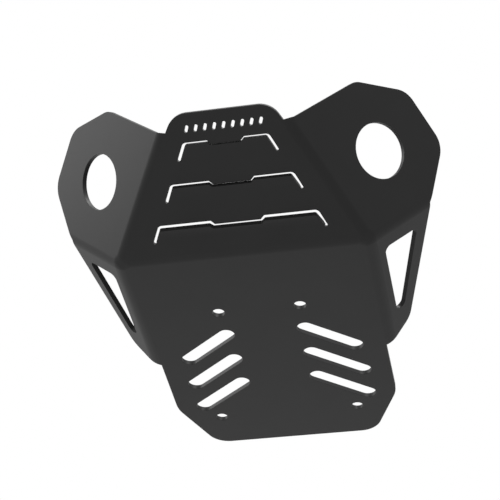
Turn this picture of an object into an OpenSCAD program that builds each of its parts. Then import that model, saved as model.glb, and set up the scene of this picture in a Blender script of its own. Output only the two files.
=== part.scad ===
// Motorcycle skid plate: one folded, powder coated aluminium sheet.
// The underside lies in the plane Z = 0 and the nose points towards -Y. Millimetres.

/* [Sheet] */
// Thickness of the sheet
sheet_t = 4; // [3:0.5:5]
// Inside radius of the folds
fold_r = 11; // [9:0.5:14]

/* [Bottom panel] */
// Width between the lower nose corners, where the folds would meet if they were sharp
nose_w = 200; // [190:1:230]
// Length from the front fold to the rear edge
bottom_l = 261.5; // [250:0.5:290]
// Angle by which each side fold opens towards the rear
side_splay = 0.8; // [0:0.1:2]
// Distance from a side fold in to the side edge behind the flange
side_inset = 5.2; // [4:0.1:6.5]
// Distance from the front fold to where the tail starts to narrow
tail_start = 203.7; // [195:0.1:210]
// Width of the rear edge between its sharp corners
tail_w = 146.4; // [130:0.2:160]
// Radius where the sides turn into the tail
shoulder_r = 36; // [20:1:45]
// Radius of the rear corners
tail_r = 20; // [10:1:30]

/* [Front panel] */
// Angle at which the front panel rises
front_rise = 32.8; // [28:0.1:38]
// Slope of the front panel's side folds, from its centre line
front_taper = 26.8; // [24:0.1:29]
// Length from the front fold to the top of the tab
front_l = 114.7; // [112:0.1:125]
// Width of the tab between its sharp top corners
tab_w = 75.6; // [72:0.2:80]
// Slope of the tab's sides, from the centre line
tab_slope = 29.4; // [28.5:0.1:31]
// Radius of the tab's top corners
tab_r = 17.5; // [10:0.5:20]

/* [Wings] */
// Angle by which a wing is folded back from the front panel
wing_fold = 43.9; // [40:0.1:48]
// Length of a wing along its fold
wing_l = 112.4; // [110:0.1:116]
// Distance from the fold to the wing's outer edge
wing_reach = 107.2; // [100:0.2:120]
// Length of the wing's top edge, out from the fold
wing_top_reach = 71.2; // [65:0.2:80]
// Fall of the top edge over that length
wing_top_fall = 9.7; // [5:0.1:14]
// Distance from the fold at which the top edge turns up towards the tab
wing_root_reach = 7; // [5:0.5:12]
// Rise of the top edge from there to the fold
wing_root_rise = 2.6; // [1:0.1:4]
// Upper end of the outer edge, along the fold
wing_edge_top = 70.5; // [65:0.1:75]
// Lower end of the outer edge, along the fold
wing_edge_low = 18.7; // [14:0.1:24]
// Radius of the corner between the top edge and the slope
wing_top_r = 15; // [5:1:25]
// Radius of the two outer corners
wing_r = 20; // [10:1:24]
// Diameter of the wing's round hole
wing_hole_d = 45; // [30:1:55]
// Distance of the round hole from the wing's fold
wing_hole_out = 54.2; // [50:0.1:58]
// Distance of the round hole up along the fold
wing_hole_up = 48.2; // [44:0.1:52]

/* [Flanges] */
// Angle by which a flange is folded up from the bottom panel
flange_fold = 44.2; // [40:0.1:48]
// Length of the fold between a wing and its flange
corner_l = 67.5; // [63:0.1:72]
// Length of a flange along its fold
flange_l = 133.4; // [125:0.1:140]
// Distance from the fold to the corner at a flange's rear
flange_rear_reach = 23.8; // [20:0.1:28]
// Distance of that corner from the front fold
flange_rear_run = 120.9; // [115:0.1:125]
// Radius of that corner
flange_r = 18; // [8:1:22]
// Distance from the fold to the window
window_inset = 12; // [10:0.1:16]
// Distance from the wing's fold to the window
window_top_gap = 17.7; // [14:0.1:22]
// Distance from the fold to the window's outer corner
window_reach = 47.3; // [42:0.1:50]
// Length of the window's inner edge, if its corners were sharp
window_l = 102.7; // [90:0.1:108]
// Radius of the window's corners
window_r = 5; // [3:0.5:7]

/* [Drain slots] */
// Width of a slot
slot_w = 14.2; // [10:0.1:16]
// Slant of the slots, from the cross direction
slot_angle = 38; // [30:0.5:45]
// Number of slots on each side
slot_rows = 3; // [1:1:3]
// Distance between rows
slot_pitch = 34.5; // [32:0.1:36]
// Distance from the centre line to the inner end's centre
slot_in = 33.3; // [28:0.1:38]
// Distance from the front fold to the first slot's inner end
slot_start = 101.8; // [98:0.1:106]
// Distance between the end centres of a slot
slot_run = 50.5; // [44:0.1:54]
// The same distance on the first row, which is shorter
first_slot_run = 47.5; // [42:0.1:51]

/* [Fixing holes] */
// Diameter of the four fixing holes
bolt_d = 10.5; // [8.5:0.1:12]
// Distance between the two front holes
front_bolt_w = 67.4; // [60:0.2:76]
// Distance of the front holes from the front fold
front_bolt_run = 71.3; // [66:0.1:76]
// Distance between the two rear holes
rear_bolt_w = 122.4; // [110:0.2:130]
// Distance of the rear holes from the front fold
rear_bolt_run = 221.4; // [216:0.1:226]

/* [Louvres] */
// Number of louvres up the front panel
louvre_rows = 3; // [1:1:3]
// Distance from the front fold to the first slit
louvre_start = 28.7; // [26:0.1:30]
// Distance between slits
louvre_pitch = 31.6; // [31:0.1:32.5]
// Half the length of the first slit, between its sharp corners
louvre_half_l = 62.8; // [58:0.1:64]
// Slope of the slits' legs, from the centre line
leg_slope = 24.9; // [22:0.1:27]
// Length of a leg, measured up the panel
leg_run = 14.1; // [12.5:0.1:15]
// Width of the legs
leg_w = 2.4; // [1.5:0.1:2.8]
// Radius of the slits' corners
slit_r = 4.5; // [3:0.5:5]
// Distance from a slit to the line on which its flap is bent
flap_l = 11.1; // [10:0.1:12]
// Opening angle of the lowest flap
low_flap_angle = 27; // [8:1:34]
// Opening angle of the middle flap
mid_flap_angle = 17; // [8:1:34]
// Opening angle of the top flap
top_flap_angle = 6; // [4:1:34]
// Gap between a slit's upper side and its flap, measured on the flat sheet, on the lowest louvre
low_gap = 2.3; // [1.2:0.1:2.6]
// The same on the middle louvre
mid_gap = 1.9; // [1.2:0.1:2.6]
// The same on the top louvre
top_gap = 1.6; // [1.2:0.1:2.6]
// Half the width of the lowest slit's stepped middle
step_half_w = 21; // [18:0.5:24]
// How much narrower each next step is, on each side
step_shrink = 3.3; // [2:0.1:4]
// Depth of the step
step_d = 3; // [2:0.1:4]
// The gap along the step of the lowest louvre
low_step_gap = 2.1; // [0.7:0.1:2.5]
// The same on the middle louvre
mid_step_gap = 1.2; // [0.7:0.1:2.5]
// The same on the top louvre
top_step_gap = 0.8; // [0.7:0.1:2.5]

/* [Tab slots] */
// Number of plain slots in the tab
tab_slots = 9; // [0:1:10]
// Distance between the slots
tab_slot_pitch = 7.2; // [6:0.1:7.4]
// Width of a slot
tab_slot_w = 2.6; // [1.5:0.1:3.5]
// Height of a slot
tab_slot_h = 6; // [4:0.5:7]
// Lean of the slots
tab_slot_lean = 20; // [0:1:30]
// Distance from the top of the tab to the middle of the row
tab_slot_inset = 12.4; // [9:0.1:13]

/* [Hidden] */
$fn = 96;
coat = [0.17, 0.17, 0.175];
// Reach of the tools that cut along a whole edge
far = 400;
// Outside radius of the folds
fold_out_r = fold_r + sheet_t;
// Arcs are this much larger than stated, so that they cross their neighbours instead of just touching them
hair = 0.01;

// Directions. Each panel has a first axis away from its fold, a second along it, and an outward normal.
x_dir = [1, 0, 0];
up_front = [0, -cos(front_rise), sin(front_rise)];
front_out = [0, -sin(front_rise), -cos(front_rise)];
bottom_out = [0, 0, -1];
corner = [nose_w / 2, 0, 0];
wing_along = up_front * cos(front_taper) - x_dir * sin(front_taper);
wing_across = x_dir * cos(front_taper) + up_front * sin(front_taper);
wing_out = front_out * cos(wing_fold) + wing_across * sin(wing_fold);
wing_away = wing_across * cos(wing_fold) - front_out * sin(wing_fold);
flange_along = [sin(side_splay), cos(side_splay), 0];
flange_across = [cos(side_splay), -sin(side_splay), 0];
flange_out = bottom_out * cos(flange_fold) + flange_across * sin(flange_fold);
flange_away = flange_across * cos(flange_fold) - bottom_out * sin(flange_fold);
corner_fold = unit(cross(wing_out, flange_out));

// Centres of the two balls that round each nose corner
ball_front = meeting(bottom_out, front_out, wing_out);
ball_side = meeting(bottom_out, wing_out, flange_out);
fold_in_wing = [corner_fold * wing_away, corner_fold * wing_along];
fold_in_flange = [corner_fold * flange_away, corner_fold * flange_along];

// Outlines that overlap their folds, with the material on the left of each edge. Where two panels' edges
// meet at the end of a fold, the sheet is whatever lies inside one outline or the other.
over = 20;
side_x = corner.x - side_inset / cos(side_splay);
bottom_side = [
  [side_x - over * tan(side_splay), -over], [side_x + tail_start * tan(side_splay), tail_start],
  [tail_w / 2, bottom_l]
];
front_side = [[tab_w / 2 + (front_l + over) * tan(tab_slope), -over], [tab_w / 2, front_l]];
wing_end = fold_in_wing * corner_l;
wing_outer_low = [wing_reach, wing_edge_low];
wing_into_low = unit(wing_outer_low - wing_end);
wing_top = [wing_top_reach, wing_l - wing_top_fall];
wing_root = [wing_root_reach, wing_l - wing_root_reach * wing_top_fall / wing_top_reach];
wing_pts = [
  [-over / 2, -over / 2], wing_end - wing_into_low * over, wing_outer_low, [wing_reach, wing_edge_top],
  wing_top, wing_root, wing_root + [-1, wing_root_rise / wing_root_reach] * (wing_root_reach + over / 2)
];
flange_end = fold_in_flange * corner_l;
flange_rear = [flange_rear_reach, flange_rear_run];
flange_into_rear = unit(flange_rear - flange_end);
flange_pts = [
  [-over / 2, -over / 2], flange_end - flange_into_rear * over, flange_rear,
  [-over / 2, flange_l + over / 2 * (flange_l - flange_rear_run) / flange_rear_reach]
];
// The window's upper edge is parallel to the fold between wing and flange
window_top = window_top_gap / fold_in_flange.x + window_inset * fold_in_flange.y / fold_in_flange.x;
window_pts = [
  [window_inset, window_top],
  [window_reach, window_top + (window_reach - window_inset) * fold_in_flange.y / fold_in_flange.x],
  [window_inset, window_top + window_l]
];

function unit(v) = v / norm(v);
// The points of a panel's right side, then those of its left side in reverse
function with_mirror(pts) = concat(pts, [for (i = [len(pts) - 1:-1:0]) [-pts[i].x, pts[i].y]]);
function at(list, i) = list[(i + len(list)) % len(list)];
// The point that lies one outside fold radius inside three panels that meet at the nose corner
function meeting(a, b, c) =
  corner - fold_out_r * (cross(b, c) + cross(c, a) + cross(a, b)) / (a * cross(b, c));
function louvre_lip(i) = louvre_start + i * louvre_pitch;
function flap_angle(i) = [low_flap_angle, mid_flap_angle, top_flap_angle][i];
function flap_gap(i) = [low_gap, mid_gap, top_gap][i];
function step_gap(i) = [low_step_gap, mid_step_gap, top_step_gap][i];
// Distance of a slit leg's outer side from the centre line, at a given distance up the panel
function leg_x(i, up) =
  louvre_half_l - i * louvre_pitch * tan(leg_slope) + (louvre_lip(i) - up) * tan(leg_slope);

// A cutter with the given outline, whose corners have true arcs. It reaches through the sheet.
module outline(pts, radii) {
  difference() {
    translate([0, 0, -2 * sheet_t]) linear_extrude(5 * sheet_t) polygon(pts);
    for (i = [0:len(pts) - 1])
      if (radii[i] > 0) corner_cut(pts[i], at(pts, i - 1), at(pts, i + 1), radii[i]);
  }
}

// What is cut off round the corner p between its neighbours a and b
module corner_cut(p, a, b, r) {
  to_a = unit(a - p);
  to_b = unit(b - p);
  half = acos(to_a * to_b) / 2;
  centre = p + unit(to_a + to_b) * r / sin(half);
  foot_a = p + to_a * r / tan(half) - centre;
  foot_b = p + to_b * r / tan(half) - centre;
  translate([centre.x, centre.y, -3 * sheet_t])
    difference() {
      linear_extrude(7 * sheet_t) polygon([[0, 0], foot_a * 1.3, (p - centre) * 1.3, foot_b * 1.3]);
      translate([0, 0, -sheet_t]) cylinder(r = r + hair, h = 9 * sheet_t);
    }
}

// Panel frames, in each of which the sheet fills Z = 0 to sheet_t. The bottom and the flanges have their
// inside up there, and the front and the wings their outside.
module on_front() {
  rotate([180 - front_rise, 0, 0]) translate([0, 0, -sheet_t]) children();
}

module on_wing() {
  rotate([180 - front_rise, 0, 0])
    translate(corner) rotate(front_taper) rotate([0, wing_fold, 0]) translate([0, 0, -sheet_t]) children();
}

module on_flange() {
  translate(corner) rotate(-side_splay) rotate([0, -flange_fold, 0]) children();
}

module both_sides() {
  children();
  mirror([1, 0, 0]) children();
}

// What rounding a fold takes off the sharp edge between two panels with outward normals n and m, for a
// ball of radius r that rolls from a to b
module fold_cut(a, b, n, m, r) {
  axis = unit(b - a);
  side = cross(axis, n);
  foot = [n * m, side * m] * r;
  sharp = ([r, 0] + foot) / (1 + n * m);
  multmatrix([for (k = [0:2]) [n[k], side[k], axis[k], a[k] - axis[k]]])
    difference() {
      linear_extrude(norm(b - a) + 2) polygon([[0, 0], [1.4 * r, 0], 1.4 * sharp, 1.4 * foot]);
      translate([0, 0, -1]) cylinder(r = r + hair, h = norm(b - a) + 4);
    }
}

// The same at a corner where three folds meet
module ball_cut(centre, a, b, c, r) {
  turned = a * cross(b, c) > 0;
  translate(centre)
    difference() {
      polyhedron(
        [[0, 0, 0], a * 3 * r, (turned ? b : c) * 3 * r, (turned ? c : b) * 3 * r],
        [[0, 1, 2], [0, 2, 3], [0, 3, 1], [1, 3, 2]]
      );
      sphere(r + 3 * hair);
    }
}

// The space inside all the panels, set back from their outer faces, with its folds rounded
module folded_space(back) {
  r = fold_out_r - back;
  long_fold = 200;
  difference() {
    translate([-far, -far, back]) cube([2 * far, 2 * far, far]);
    on_front() translate([-far, -far, sheet_t - back]) cube(2 * far);
    fold_cut([-ball_front.x, ball_front.y, ball_front.z], ball_front, bottom_out, front_out, r);
    both_sides() {
      on_wing() translate([-far, -far, sheet_t - back]) cube(2 * far);
      on_flange() translate([-far, -far, back - 2 * far]) cube(2 * far);
      fold_cut(ball_front, ball_front + wing_along * long_fold, front_out, wing_out, r);
      fold_cut(ball_side, ball_side + corner_fold * long_fold, wing_out, flange_out, r);
      fold_cut(ball_side, ball_side + flange_along * long_fold, flange_out, bottom_out, r);
      fold_cut(ball_side, ball_front, wing_out, bottom_out, r);
    }
  }
}

// The same with the nose corners rounded too
module inside_space(back) {
  r = fold_out_r - back;
  difference() {
    folded_space(back);
    both_sides() {
      ball_cut(ball_front, bottom_out, front_out, wing_out, r);
      ball_cut(ball_side, bottom_out, wing_out, flange_out, r);
    }
  }
}

// A slot with round ends, from its first end's centre along X
module slot(run, width) {
  translate([0, 0, -sheet_t]) {
    cylinder(d = width, h = 3 * sheet_t);
    translate([run, 0, 0]) cylinder(d = width, h = 3 * sheet_t);
    translate([0, -width / 2, 0]) cube([run, width, 3 * sheet_t]);
  }
}

module drain_slots() {
  for (i = [0:1:slot_rows - 1])
    translate([slot_in, slot_start + i * slot_pitch, 0])
      rotate(slot_angle)
        slot(i == 0 ? first_slot_run : slot_run, slot_w);
}

module fixing_holes() {
  for (p = [[front_bolt_w / 2, front_bolt_run], [rear_bolt_w / 2, rear_bolt_run]])
    translate([p.x, p.y, -sheet_t]) cylinder(d = bolt_d, h = 3 * sheet_t);
}

// The flat outlines of all panels, each in its place
module outlines() {
  outline(with_mirror(bottom_side), [0, shoulder_r, tail_r, tail_r, shoulder_r, 0]);
  on_front() outline(with_mirror(front_side), [0, tab_r, tab_r, 0]);
  both_sides() {
    on_wing() outline(wing_pts, [0, 0, wing_r, wing_r, wing_top_r, 0, 0]);
    on_flange() outline(flange_pts, [0, 0, flange_r, 0]);
  }
}

// The folded sheet without its openings
module blank() {
  intersection() {
    difference() {
      inside_space(0);
      inside_space(sheet_t);
    }
    union() outlines();
  }
}

// The opening that a louvre leaves in the front panel: the flap's place, and the slit round it
module louvre_opening(i) {
  lip = louvre_lip(i);
  bend = lip - flap_l;
  difference() {
    outline([[leg_x(i, bend), bend], [leg_x(i, lip), lip], [-leg_x(i, lip), lip], [-leg_x(i, bend), bend]],
      [0, slit_r, slit_r, 0]);
    step_prism(step_half_w - i * step_shrink, lip);
  }
}

// The raised middle of a slit's upper side, with slanted ends, which is part of the front panel
module step_prism(half_step, lip) {
  translate([0, 0, -3 * sheet_t])
    linear_extrude(7 * sheet_t)
      polygon([
        [half_step - step_d, lip - step_d], [half_step + 1, lip + 1], [-half_step - 1, lip + 1],
        [-half_step + step_d, lip - step_d]
      ]);
}

// The slit's legs, which run on below the flap's bend and end round
module slit_leg(i) {
  low = louvre_lip(i) - leg_run + leg_w / 2;
  start = louvre_lip(i) - flap_l + 1;
  translate([leg_x(i, low) - leg_w / 2 / cos(leg_slope), low, 0])
    rotate(90 + leg_slope)
      slot((start - low) / cos(leg_slope), leg_w);
}

// A louvre's flap, bent outwards, with a root that lies in the front panel
module flap(i) {
  lip = louvre_lip(i);
  bend = lip - flap_l;
  angle = flap_angle(i);
  root = bend - 2;
  top = lip - flap_gap(i);
  side = leg_w / cos(leg_slope) + 5 * hair;
  half_w = leg_x(i, root);
  tip = [bend, sheet_t] + (top - bend) * [cos(angle), sin(angle)];
  intersection() {
    translate([-half_w, 0, 0])
      rotate([90, 0, 90])
        linear_extrude(2 * half_w)
          polygon([
            [root, 0], [bend + sheet_t * tan(angle / 2), 0], tip + sheet_t * [sin(angle), -cos(angle)], tip,
            [bend, sheet_t], [root, sheet_t]
          ]);
    translate([0, bend, sheet_t])
      rotate([angle, 0, 0])
        translate([0, -bend, -sheet_t])
          difference() {
            outline([
                [leg_x(i, root - 2) - side, root - 2], [leg_x(i, top + hair) - side, top + hair],
                [-leg_x(i, top + hair) + side, top + hair], [-leg_x(i, root - 2) + side, root - 2]
              ], [0, slit_r - leg_w, slit_r - leg_w, 0]);
            step_prism(step_half_w - i * step_shrink + step_gap(i) * tan(22.5), lip - step_gap(i));
          }
  }
}

// Plain slots in the tab
module tab_row() {
  run = tab_slot_h - tab_slot_w;
  for (i = [0:1:tab_slots - 1])
    translate([(i - (tab_slots - 1) / 2) * tab_slot_pitch, front_l - tab_slot_inset, 0])
      rotate(90 - tab_slot_lean)
        translate([-run / 2, 0, 0])
          slot(run, tab_slot_w);
}

module skid_plate() {
  color(coat)
    translate([0, -front_bolt_run, 0]) {
      difference() {
        blank();
        on_front() {
          for (i = [0:1:louvre_rows - 1]) louvre_opening(i);
          both_sides() for (i = [0:1:louvre_rows - 1]) slit_leg(i);
          tab_row();
        }
        both_sides() {
          drain_slots();
          fixing_holes();
          on_wing()
            translate([wing_hole_out, wing_hole_up, -sheet_t]) cylinder(d = wing_hole_d, h = 3 * sheet_t);
          on_flange() outline(window_pts, [window_r, window_r, window_r]);
        }
      }
      on_front() for (i = [0:1:louvre_rows - 1]) flap(i);
    }
}

skid_plate();
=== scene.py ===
"""Looks of a folded motorcycle skid plate: a powder coated sheet with softened cut edges, seen from the
front and below as in the photograph."""

import itertools
import math

import bmesh
import bpy
from mathutils import Matrix, Vector

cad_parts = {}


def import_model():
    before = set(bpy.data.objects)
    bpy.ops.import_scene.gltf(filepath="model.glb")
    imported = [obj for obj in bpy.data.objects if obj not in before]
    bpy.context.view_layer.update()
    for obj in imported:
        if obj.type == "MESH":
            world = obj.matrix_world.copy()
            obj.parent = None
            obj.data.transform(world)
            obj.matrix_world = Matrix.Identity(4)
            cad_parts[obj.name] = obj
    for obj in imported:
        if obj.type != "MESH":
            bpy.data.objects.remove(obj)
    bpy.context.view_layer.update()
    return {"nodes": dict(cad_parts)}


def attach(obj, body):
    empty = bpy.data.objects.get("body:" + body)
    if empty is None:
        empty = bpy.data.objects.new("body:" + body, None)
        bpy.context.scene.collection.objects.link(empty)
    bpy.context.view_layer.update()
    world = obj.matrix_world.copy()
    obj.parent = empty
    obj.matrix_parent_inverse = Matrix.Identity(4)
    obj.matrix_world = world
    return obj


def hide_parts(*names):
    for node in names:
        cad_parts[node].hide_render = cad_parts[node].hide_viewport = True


MM = 0.001

# The photograph's camera, in the plate's own frame. It stands below the floor and looks up at the underside.
CAMERA_PLACE = Vector((0.1780, -0.8930, -0.7089))
CAMERA_AZIMUTH = math.radians(11.835)
CAMERA_ELEVATION = math.radians(-40.287)
CAMERA_ROLL = math.radians(1.868)
CAMERA_FOV = math.radians(20.013)
CAMERA_SENSOR_MM = 36.0
CAMERA_CLIP_START = 0.01

# The soft boxes: name, place, side and watts. All of them are turned to the same point, low over the bottom.
LAMP_TARGET = (0, 0, 0.03)
SOFT_BOXES = (
    ("left_box", (-1.4, -0.22, 0.8), 1.0, 15),
    ("top_box", (0.6, -0.7, 1.6), 0.8, 44),
    ("low_box", (-0.6, -0.4, -1.5), 1.2, 2.2),
    ("tail_box", (-0.3, 1.0, -1.2), 1.2, 1.1),
)

WORLD_LIGHT = 0.55
BACKGROUND_WHITE = 1.0

# The floor lies just under the plate, so that the two never share a plane. Between two distances from the
# plate's origin it runs out into the background.
FLOOR_DROP = 0.4 * MM
FLOOR_SIZE = 6.0
FLOOR_WHITE = 0.82
FLOOR_FADE_START = 0.45
FLOOR_FADE_END = 1.0

# The coat: ranges for its grey and its roughness, then the scale and detail of its three noises. A noise's
# scale counts its cells to the metre.
COAT_SPECULAR = 0.185
COAT_GREY = (0.0124, 0.0178)
COAT_ROUGHNESS = (0.42, 0.52)
ORANGE_PEEL = (420, 2)
FINE_GRAIN = (2600, 3)
UNEVEN_FILM = (22, 3)

# The coat's relief: strength and height
PEEL_RELIEF = (0.25, 0.02 * MM)
GRAIN_RELIEF = (0.35, 0.01 * MM)

# Points closer than this become one, and faces that turn less than this from each other are joined
WELD_DISTANCE = 0.06 * MM
FLAT_ANGLE = math.radians(0.4)

# How much more a large face counts in the shading at its edges than a small one, out of 100
FLAT_FACE_WEIGHT = 100

# Cut edges are knocked off by this much before the plate is coated. An edge sharper than the first angle is
# a cut one, and two that meet in less than the second close in a sliver.
EDGE_BREAK = 0.2 * MM
EDGE_SEGMENTS = 3
SHARP_ANGLE = math.radians(38)
SLIVER_ANGLE = math.radians(15)


def look_from(place, azimuth, elevation, roll):
    """The matrix of a camera at a place, whose view direction is given as an azimuth and an elevation."""
    back = Vector((
        math.sin(azimuth) * math.cos(elevation),
        -math.cos(azimuth) * math.cos(elevation),
        math.sin(elevation),
    ))
    level = (-back).cross(Vector((0, 0, 1))).normalized()
    upright = level.cross(-back)
    right = level * math.cos(roll) + upright * math.sin(roll)
    up = upright * math.cos(roll) - level * math.sin(roll)
    turn = Matrix((right, up, back)).transposed().to_4x4()
    return Matrix.Translation(place) @ turn


def add_camera():
    """The photograph's camera, which is the one that renders."""
    data = bpy.data.cameras.new("camera")
    data.sensor_width = CAMERA_SENSOR_MM
    data.lens = data.sensor_width / (2 * math.tan(CAMERA_FOV / 2))
    data.clip_start = CAMERA_CLIP_START
    camera = bpy.data.objects.new("camera", data)
    camera.matrix_world = look_from(CAMERA_PLACE, CAMERA_AZIMUTH, CAMERA_ELEVATION, CAMERA_ROLL)
    bpy.context.scene.collection.objects.link(camera)
    bpy.context.scene.camera = camera


def add_soft_box(name, place, side, watts):
    """A square lamp that lights the plate and doesn't show itself."""
    data = bpy.data.lights.new(name, "AREA")
    data.shape = "SQUARE"
    data.size = side
    data.energy = watts
    lamp = bpy.data.objects.new(name, data)
    aim = Vector(LAMP_TARGET) - Vector(place)
    turn = aim.to_track_quat("-Z", "Y").to_matrix().to_4x4()
    lamp.matrix_world = Matrix.Translation(place) @ turn
    lamp.visible_camera = False
    bpy.context.scene.collection.objects.link(lamp)


def empty_tree(owner):
    """The node tree of a material or world, with nothing in it yet."""
    owner.use_nodes = True
    owner.node_tree.nodes.clear()
    return owner.node_tree


def combined(tree, operation, first, second, clamp=False):
    """One value worked out from two."""
    node = tree.nodes.new("ShaderNodeMath")
    node.operation = operation
    node.use_clamp = clamp
    tree.links.new(first, node.inputs[0])
    tree.links.new(second, node.inputs[1])
    return node.outputs["Value"]


def spread(tree, value, target, source=(0, 1)):
    """A value carried from the source range to the target range."""
    node = tree.nodes.new("ShaderNodeMapRange")
    node.inputs["From Min"].default_value, node.inputs["From Max"].default_value = source
    node.inputs["To Min"].default_value, node.inputs["To Max"].default_value = target
    tree.links.new(value, node.inputs["Value"])
    return node.outputs["Result"]


def blended(tree, share, empty, full):
    """The empty shader at a share of 0, and the full one at 1."""
    node = tree.nodes.new("ShaderNodeMixShader")
    tree.links.new(share, node.inputs["Fac"])
    tree.links.new(empty, node.inputs[1])
    tree.links.new(full, node.inputs[2])
    return node.outputs["Shader"]


def white_light(tree, strength):
    """An even white light from all round."""
    node = tree.nodes.new("ShaderNodeBackground")
    node.inputs["Color"].default_value = (1, 1, 1, 1)
    node.inputs["Strength"].default_value = strength
    return node.outputs["Background"]


def add_world():
    """White behind the object and in its gloss, and a plain level of light on it."""
    world = bpy.data.worlds.new("studio")
    tree = empty_tree(world)
    path = tree.nodes.new("ShaderNodeLightPath").outputs
    mirrored = combined(tree, "MAXIMUM", path["Is Glossy Ray"], path["Is Transmission Ray"])
    seen = combined(tree, "MAXIMUM", path["Is Camera Ray"], mirrored)
    surface = blended(tree, seen, white_light(tree, WORLD_LIGHT), white_light(tree, BACKGROUND_WHITE))
    out = tree.nodes.new("ShaderNodeOutputWorld")
    tree.links.new(surface, out.inputs["Surface"])
    bpy.context.scene.world = world


def floor_material():
    """Pale, and seen only by a camera above it, so that a camera and lamps below look and shine through. It
    runs out into the white background, so that no horizon shows."""
    material = bpy.data.materials.new("floor")
    tree = empty_tree(material)
    path = tree.nodes.new("ShaderNodeLightPath").outputs
    geometry = tree.nodes.new("ShaderNodeNewGeometry").outputs
    shown = combined(tree, "SUBTRACT", path["Is Camera Ray"], geometry["Backfacing"], clamp=True)
    place = tree.nodes.new("ShaderNodeTexCoord").outputs
    distance = tree.nodes.new("ShaderNodeVectorMath")
    distance.operation = "LENGTH"
    tree.links.new(place["Object"], distance.inputs[0])
    fade = spread(tree, distance.outputs["Value"], (1, 0), (FLOOR_FADE_START, FLOOR_FADE_END))
    amount = combined(tree, "MULTIPLY", shown, fade)
    clear = tree.nodes.new("ShaderNodeBsdfTransparent").outputs["BSDF"]
    matt = tree.nodes.new("ShaderNodeBsdfDiffuse")
    matt.inputs["Color"].default_value = (FLOOR_WHITE, FLOOR_WHITE, FLOOR_WHITE, 1)
    surface = blended(tree, amount, clear, matt.outputs["BSDF"])
    out = tree.nodes.new("ShaderNodeOutputMaterial")
    tree.links.new(surface, out.inputs["Surface"])
    return material


def add_floor():
    """A level square under the plate, which catches its shadow."""
    half = FLOOR_SIZE / 2
    mesh = bpy.data.meshes.new("floor")
    corners = [(-half, -half), (half, -half), (half, half), (-half, half)]
    mesh.from_pydata([(x, y, -FLOOR_DROP) for x, y in corners], [], [(0, 1, 2, 3)])
    mesh.materials.append(floor_material())
    floor = bpy.data.objects.new("floor", mesh)
    bpy.context.scene.collection.objects.link(floor)


def powder_coat():
    """Satin black powder coat: a faint orange peel, and a finer grain that breaks up the gloss."""
    material = bpy.data.materials.new("black_powder_coat")
    material.use_nodes = True
    tree = material.node_tree
    coat = tree.nodes["Principled BSDF"]
    coat.inputs["Specular IOR Level"].default_value = COAT_SPECULAR
    place = tree.nodes.new("ShaderNodeTexCoord").outputs["Object"]

    def noise(name, look):
        node = tree.nodes.new("ShaderNodeTexNoise")
        node.label = name
        node.inputs["Scale"].default_value, node.inputs["Detail"].default_value = look
        tree.links.new(place, node.inputs["Vector"])
        return node.outputs["Fac"]

    def relief(height, look):
        node = tree.nodes.new("ShaderNodeBump")
        node.inputs["Strength"].default_value, node.inputs["Distance"].default_value = look
        tree.links.new(height, node.inputs["Height"])
        return node

    peel = noise("orange peel", ORANGE_PEEL)
    grain = noise("fine grain", FINE_GRAIN)
    film = noise("uneven film", UNEVEN_FILM)

    grey = spread(tree, film, COAT_GREY)
    colour = tree.nodes.new("ShaderNodeCombineColor")
    for channel in ("Red", "Green", "Blue"):
        tree.links.new(grey, colour.inputs[channel])
    tree.links.new(colour.outputs["Color"], coat.inputs["Base Color"])
    tree.links.new(spread(tree, grain, COAT_ROUGHNESS), coat.inputs["Roughness"])

    wave = relief(peel, PEEL_RELIEF)
    pores = relief(grain, GRAIN_RELIEF)
    tree.links.new(wave.outputs["Normal"], pores.inputs["Normal"])
    tree.links.new(pores.outputs["Normal"], coat.inputs["Normal"])
    return material


def mark_cut_edges(shape):
    """Marks the cut edges for the bevel, apart from pairs that close in a sliver too thin to take it."""
    weight = shape.edges.layers.float.new("bevel_weight_edge")
    cut = {edge for edge in shape.edges if edge.calc_face_angle(0) > SHARP_ANGLE}
    slivers = set()
    for vert in shape.verts:
        meeting = [edge for edge in vert.link_edges if edge in cut]
        for first, second in itertools.combinations(meeting, 2):
            one_way = first.other_vert(vert).co - vert.co
            other_way = second.other_vert(vert).co - vert.co
            if one_way.angle(other_way) < SLIVER_ANGLE:
                slivers |= {first, second}
    for edge in cut - slivers:
        edge[weight] = 1


def whole_faced_mesh(cad_plate):
    """A copy of the CAD mesh with its triangles joined into whole faces and its cut edges marked."""
    mesh = cad_plate.data.copy()
    shape = bmesh.new()
    shape.from_mesh(mesh)
    bmesh.ops.remove_doubles(shape, verts=shape.verts, dist=WELD_DISTANCE)
    bmesh.ops.dissolve_limit(
        shape, angle_limit=FLAT_ANGLE, use_dissolve_boundaries=False,
        verts=shape.verts, edges=shape.edges,
    )
    mark_cut_edges(shape)
    for face in shape.faces:
        face.smooth = True
    shape.to_mesh(mesh)
    shape.free()
    return mesh


def add_coated_plate(cad_plate):
    """The CAD sheet with its cut edges broken, in its black coat."""
    mesh = whole_faced_mesh(cad_plate)
    mesh.materials.clear()
    mesh.materials.append(powder_coat())
    plate = bpy.data.objects.new("coated_plate", mesh)
    bpy.context.scene.collection.objects.link(plate)
    edges = plate.modifiers.new("broken_edges", "BEVEL")
    edges.width = EDGE_BREAK
    edges.segments = EDGE_SEGMENTS
    edges.limit_method = "WEIGHT"
    edges.use_clamp_overlap = False
    edges.loop_slide = False
    flats = plate.modifiers.new("flats_stay_flat", "WEIGHTED_NORMAL")
    flats.mode = "FACE_AREA"
    flats.weight = FLAT_FACE_WEIGHT
    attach(plate, "root")
    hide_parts("skid_plate")


def main():
    """Dresses the frame."""
    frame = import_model()
    bpy.context.scene.view_settings.view_transform = "Standard"
    add_camera()
    add_world()
    for name, place, side, watts in SOFT_BOXES:
        add_soft_box(name, place, side, watts)
    add_floor()
    add_coated_plate(frame["nodes"]["skid_plate"])


main()
